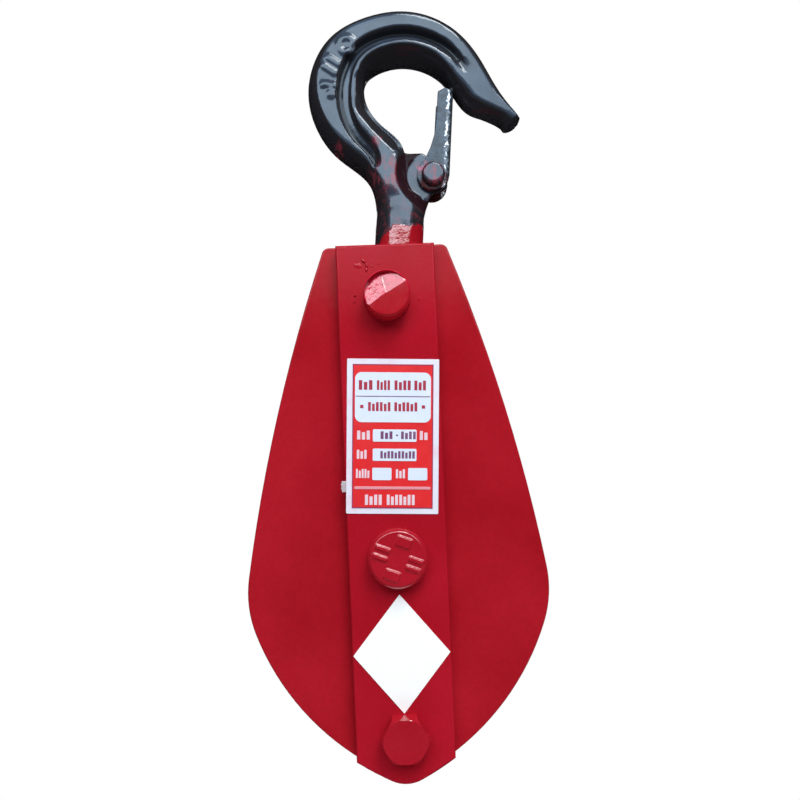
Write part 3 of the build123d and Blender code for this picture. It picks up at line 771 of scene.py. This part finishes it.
field_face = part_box("label_field")[0].y
panel_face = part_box("label_panels")[0].y
dark_ink = film("dark_red_ink", (0.42, 0.030, 0.060), (0.50, 0.06, 0.10))
grey_ink = film("grey_ink", (0.20, 0.07, 0.16), (0.26, 0.10, 0.2))
white_ink = film("white_ink", (0.86, 0.66, 0.72), (0.84, 0.52, 0.58))
title = []
for start, end, letters in ((-10.5, -5.9, 3), (-5.0, -0.7, 4), (0.3, 5.6, 4), (6.3, 10.2, 3)):
    title += print_word(start, end, 15.4, 2.9, letters, panel_face)
for start, end, letters in ((-7.6, -0.5, 6), (0.3, 7.6, 6)):
    title += print_word(start, end, 8.9, 2.7, letters, panel_face)
title += [print_block(x, 8.9, 1.0, 1.0, panel_face, ink_depth) for x in (-9.4, 9.2)]
join_print(title, "print_dark_red", dark_ink)
figures = [print_block(0, 12.0, 22.4, 0.25, panel_face, ink_depth)]
for start, end, letters in ((-3.8, 0.2, 3), (2.4, 7.2, 4)):
    figures += print_word(start, end, 0.3, 2.3, letters, panel_face)
figures += [print_block(1.3, 0.3, 0.7, 0.4, panel_face, ink_depth)]
figures += print_word(-3.8, 6.9, -5.6, 2.2, 10, panel_face)
join_print(figures, "print_grey", grey_ink)
names = []
for start, end, z, letters in ((-10.9, -6.6, 0.3, 3), (8.0, 10.8, 0.3, 2), (-10.9, -7.6, -5.5, 3),
                               (-11.1, -6.8, -11.3, 5), (0.9, 4.0, -11.3, 3)):
    names += print_word(start, end, z, 2.7, letters, field_face)
for start, end, letters in ((-8.4, -2.9, 4), (-1.8, 7.0, 7)):
    names += print_word(start, end, -19.2, 3.1, letters, field_face)
join_print(names, "print_white", white_ink)

frame_ink = film("frame_ink", (0.30, 0.030, 0.10), (0.36, 0.05, 0.13))
label_frame = [print_block(x, 0, 0.3, 43.6, field_face, frame_ink_depth) for x in (-12.05, 12.05)]
label_frame += [print_block(0, z, 23.8, 0.3, field_face, frame_ink_depth) for z in (-21.6, 21.6)]
join_print(label_frame, "print_frame", frame_ink)
rose_ink = film("rose_ink", (0.84, 0.30, 0.34), (0.8, 0.36, 0.4))
join_print([print_block(0, -15.6, 22.8, 0.72, panel_face, ink_depth)], "print_rose", rose_ink)

# %% [markdown]
# ## The trunnion's end
# The end of the crosshead's pin was cut with three strokes, so it has three flat facets that
# meet in the middle. The two upper ones tilt up and catch the sky. The end face of a merged
# copy is dissolved to one face, poked to give it a middle, and its rim is set back by facet.

# %% Paint on the pin's end
pin_end = Finish("red_gloss_pin_end")
pin_facing = pin_end.add("ShaderNodeSeparateXYZ")
pin_end.join(pin_end.add("ShaderNodeNewGeometry").outputs["True Normal"], pin_facing.inputs[0])
pin_axes = pin_end.add("ShaderNodeSeparateXYZ")
pin_end.join(pin_end.place, pin_axes.inputs[0])
pin_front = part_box("crosshead")[0].y
at_tip = pin_end.spread(pin_axes.outputs["Y"], pin_front + 3.0 * MM, pin_front + 3.5 * MM, 1.0, 0.0)
# The upward facets get a lighter red and more shine; the lighter red is a painted highlight over their real
# reflection of the sky.
upward = pin_end.reckon("MULTIPLY", pin_end.spread(pin_facing.outputs["Z"], 0.05, 0.20), at_tip)
patches = pin_end.spread(pin_end.noise(520, 3), 0.35, 0.6)
lit_red = pin_end.blend(patches, (0.50, 0.008, 0.03), (0.72, 0.022, 0.06))
pin_end.colour(pin_end.blend(upward, red_paint_colour(pin_end), lit_red))
pin_end.gloss(pin_end.spread(pin_end.noise(420, 4, 0.6), 0.3, 0.7, 0.05, 0.22))
left_facet = at_tip
for angle in (192.7, 126):
    a = radians(angle)
    reach = pin_end.reckon("ADD", pin_end.reckon("MULTIPLY", pin_axes.outputs["X"], cos(a)),
                           pin_end.reckon("MULTIPLY", pin_axes.outputs["Z"], sin(a)))
    border = trunnion.x * cos(a) + trunnion.z * sin(a)
    side = pin_end.spread(reach, border, border + 0.3 * MM)
    left_facet = pin_end.reckon("MULTIPLY", side, left_facet)
pin_end.bump(pin_end.reckon("MULTIPLY", pin_end.noise(360, 4, 0.6), left_facet), 0.45, 0.0008)
pin_end.bump(pin_end.noise(420, 2), 0.06, 0.0003)
pin_end.join(pin_end.spread(upward, 0.0, 1.0, 0.3, 0.95), pin_end.shader.inputs["Specular IOR Level"])
print("pin end paint ready")

# %% Three facets
crosshead = merged_copy("crosshead", "crosshead_block")
select_only(crosshead)
front = min(corner.co.y for corner in crosshead.data.vertices) + 0.01 * MM
bpy.ops.object.mode_set(mode="EDIT")
bpy.ops.mesh.select_all(action="DESELECT")
bpy.ops.mesh.select_mode(type="FACE")
bpy.ops.object.mode_set(mode="OBJECT")
for face in crosshead.data.polygons:
    face.select = face.center.y < front
bpy.ops.object.mode_set(mode="EDIT")
bpy.ops.mesh.dissolve_faces()
bpy.ops.mesh.poke()
bpy.ops.object.mode_set(mode="OBJECT")
facets = ((119, 0.26), (126, 0.272))
moved = 0
for corner in crosshead.data.vertices:
    if corner.co.y < front:
        back = [0.0]
        for angle, slope in facets:
            a = radians(angle)
            back.append(slope * ((corner.co.x - trunnion.x) * cos(a) + (corner.co.z - trunnion.z) * sin(a)))
        corner.co.y += max(back)
        moved += 1
bpy.ops.object.shade_smooth_by_angle(angle=radians(8))
crosshead.data.materials.append(pin_end.material)
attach(crosshead, "crosshead_body")
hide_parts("crosshead")
print("facets moved", moved, "corners")

# %% [markdown]
# ## The axle's head
# Thick paint has rounded the raised marks on the axle's head, and each of them shows the sky
# on its upper edge. A remeshed and smoothed copy of the axle gives them that softness.

# %% Soft head
axle_copy = soften(merged_copy("axle_pin", "axle_bolt"), 0.25 * MM, 4)
axle_copy.data.materials.append(head_red.material)
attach(axle_copy, "block_body")
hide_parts("axle_pin")

# %% [markdown]
# ## Drips and nibs in the paint
# Above and left of the trunnion's end a small ridge of weld spatter lies under the paint,
# with a few specks round it. Each is a low dome: a sphere primitive, flattened onto the
# strap, its top pulled askew and its lower half cut off where it meets the steel.

# %% Spatter under the paint
def spatter(x, z, wide, tall, high, lean):
    """A low dome on the strap; x and z are millimetres from the axle."""
    bpy.ops.object.select_all(action="DESELECT")
    bpy.ops.mesh.primitive_uv_sphere_add(segments=20, ring_count=12, radius=1, location=(0, 0, 0))
    dome = bpy.context.active_object
    bpy.ops.object.mode_set(mode="EDIT")
    bpy.ops.mesh.select_all(action="SELECT")
    bpy.ops.mesh.bisect(plane_co=(0, 0.15, 0), plane_no=(0, 1, 0), clear_outer=True, use_fill=True)
    bpy.ops.object.mode_set(mode="OBJECT")
    for corner in dome.data.vertices:
        corner.co.x += 0.25 * corner.co.z * corner.co.z
    dome.scale = (wide / 2 * MM, high * MM, tall / 2 * MM)
    dome.rotation_euler = (0, radians(lean), 0)
    dome.location = (axle.x + x * MM, strap_face, axle.z + z * MM)
    return dome


drops = [spatter(-6.6, 89.9, 0.9, 2.0, 0.45, -48), spatter(-5.7, 88.6, 0.9, 2.0, 0.45, -12),
         spatter(-5.8, 87.3, 0.8, 1.6, 0.35, 14), spatter(-8.4, 88.6, 2.4, 1.6, 0.16, 20),
         spatter(-9.6, 79.7, 1.1, 0.6, 0.35, 80), spatter(-9.9, 77.6, 0.7, 0.5, 0.25, 0),
         spatter(-4.1, 88.3, 0.6, 0.6, 0.2, 0), spatter(-1.9, 88.9, 0.5, 0.5, 0.2, 0),
         spatter(9.6, 77.8, 0.6, 1.0, 0.25, 15), spatter(-13.3, 42.0, 0.5, 0.6, 0.15, 0)]
bpy.ops.object.select_all(action="DESELECT")
for drop in drops:
    drop.select_set(True)
bpy.context.view_layer.objects.active = drops[0]
bpy.ops.object.join()
spatters = bpy.context.active_object
spatters.name = "paint_spatter"
bpy.ops.object.transform_apply(location=True, rotation=True, scale=True)
bpy.ops.object.shade_smooth_by_angle(angle=radians(40))
spatters.data.materials.append(strap_red.material)
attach(spatters, "block_body")
print("spatter drops", len(drops))

# %% [markdown]
# ## Scrap beside the label
# A torn bit of the label's backing sticks to the strap left of the label. It is a small
# plane, subdivided, its border torn by moving the outer corners, lifted at one end and
# given a thickness.

# %% Torn scrap
bpy.ops.object.select_all(action="DESELECT")
bpy.ops.mesh.primitive_grid_add(x_subdivisions=6, y_subdivisions=10, size=1, location=(0, 0, 0))
scrap = bpy.context.active_object
scrap.name = "label_scrap"
for n, corner in enumerate(scrap.data.vertices):
    u, v = corner.co.x, corner.co.y
    torn = 0.12 * sin(17 * v + 3 * u) + 0.08 * sin(41 * v)
    wide = 1.9 * u * (1 + torn) * (1 - 0.9 * v * v)
    lift = 0.10 + 0.30 * max(0, -u) * (1 + 0.6 * sin(9 * v))
    corner.co = (wide * MM, -lift * MM, v * 3.4 * MM)
scrap.location = (label_middle.x - 15.2 * MM, strap_face, label_middle.z - 14.6 * MM)
select_only(scrap)
bpy.ops.object.transform_apply(location=True, rotation=True, scale=True)
paper = scrap.modifiers.new("paper", "SOLIDIFY")
paper.thickness = 0.06 * MM
bpy.ops.object.modifier_apply(modifier="paper")
bpy.ops.object.shade_smooth()
scrap.data.materials.append(film("torn_backing", (0.50, 0.40, 0.43), (0.72, 0.66, 0.69)).material)
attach(scrap, "block_body")
print("scrap has", len(scrap.data.polygons), "faces")
